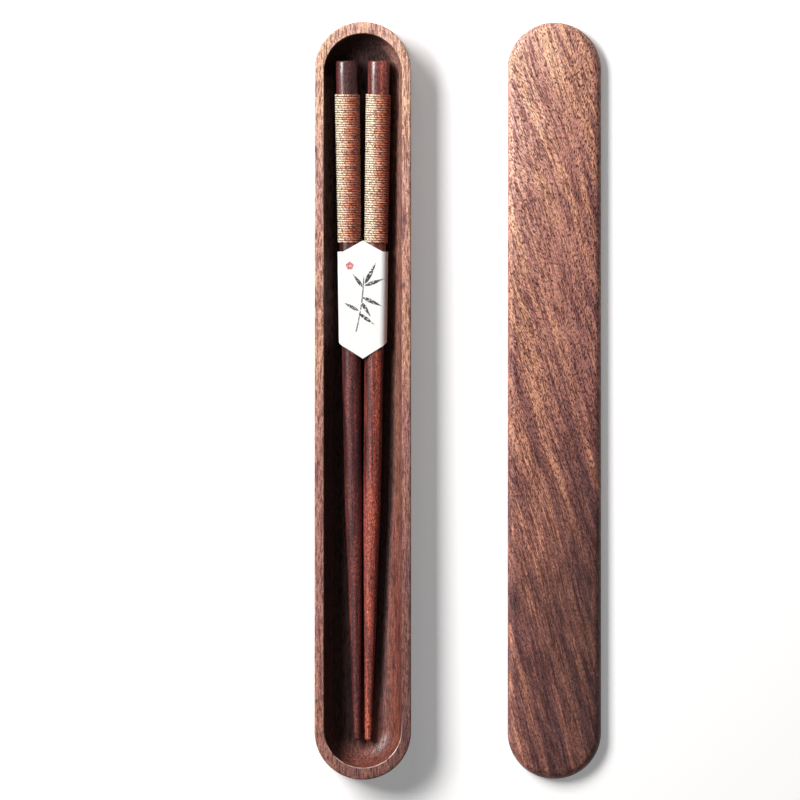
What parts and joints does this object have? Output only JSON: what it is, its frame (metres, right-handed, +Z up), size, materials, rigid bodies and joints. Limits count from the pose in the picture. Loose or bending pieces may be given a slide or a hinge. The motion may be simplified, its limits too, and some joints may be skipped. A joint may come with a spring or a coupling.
{
  "type": "portable chopstick case",
  "caption": "Open wooden chopstick case: long hollowed tray with rounded ends, its loose lid lying alongside, and thread-wrapped chopsticks held by a folded paper band.",
  "frame": {"origin": "centre of the tray's flat base, on the table", "axes": "+Z up out of the tray's mouth, +Y along the case towards the chopstick heads, +X towards the lid lying alongside"},
  "size_m": [0.097, 0.2562, 0.0141],
  "materials": {
    "walnut": "oiled satin",
    "lacquered_wood": "semi-gloss lacquer",
    "thread": "silky twisted thread",
    "paper": "matt"
  },
  "bodies": {
    "tray": {"tray": "walnut"},
    "lid": {"lid": "walnut"},
    "left_chopstick": {"left_chopstick": "lacquered_wood", "left_thread_wrap": "thread"},
    "right_chopstick": {"right_chopstick": "lacquered_wood", "right_thread_wrap": "thread"},
    "paper_band": {"paper_band": "paper"}
  },
  "joints": [
    {"name": "lid_lift", "type": "slide", "parent": "tray", "child": "lid", "axis": [0, 0, 1], "range_m": [0, 0.05]},
    {"name": "left_chopstick_lift", "type": "slide", "parent": "tray", "child": "left_chopstick", "axis": [0, 0, 1], "range_m": [0, 0.05]},
    {"name": "right_chopstick_lift", "type": "slide", "parent": "tray", "child": "right_chopstick", "axis": [0, 0, 1], "range_m": [0, 0.05]},
    {"name": "band_slide", "type": "slide", "parent": "left_chopstick", "child": "paper_band", "axis": [0, -1, 0], "range_m": [0, 0.11]}
  ],
  "couplings": [
    {"joint": "right_chopstick_lift", "follows": "left_chopstick_lift", "ratio": 1}
  ]
}
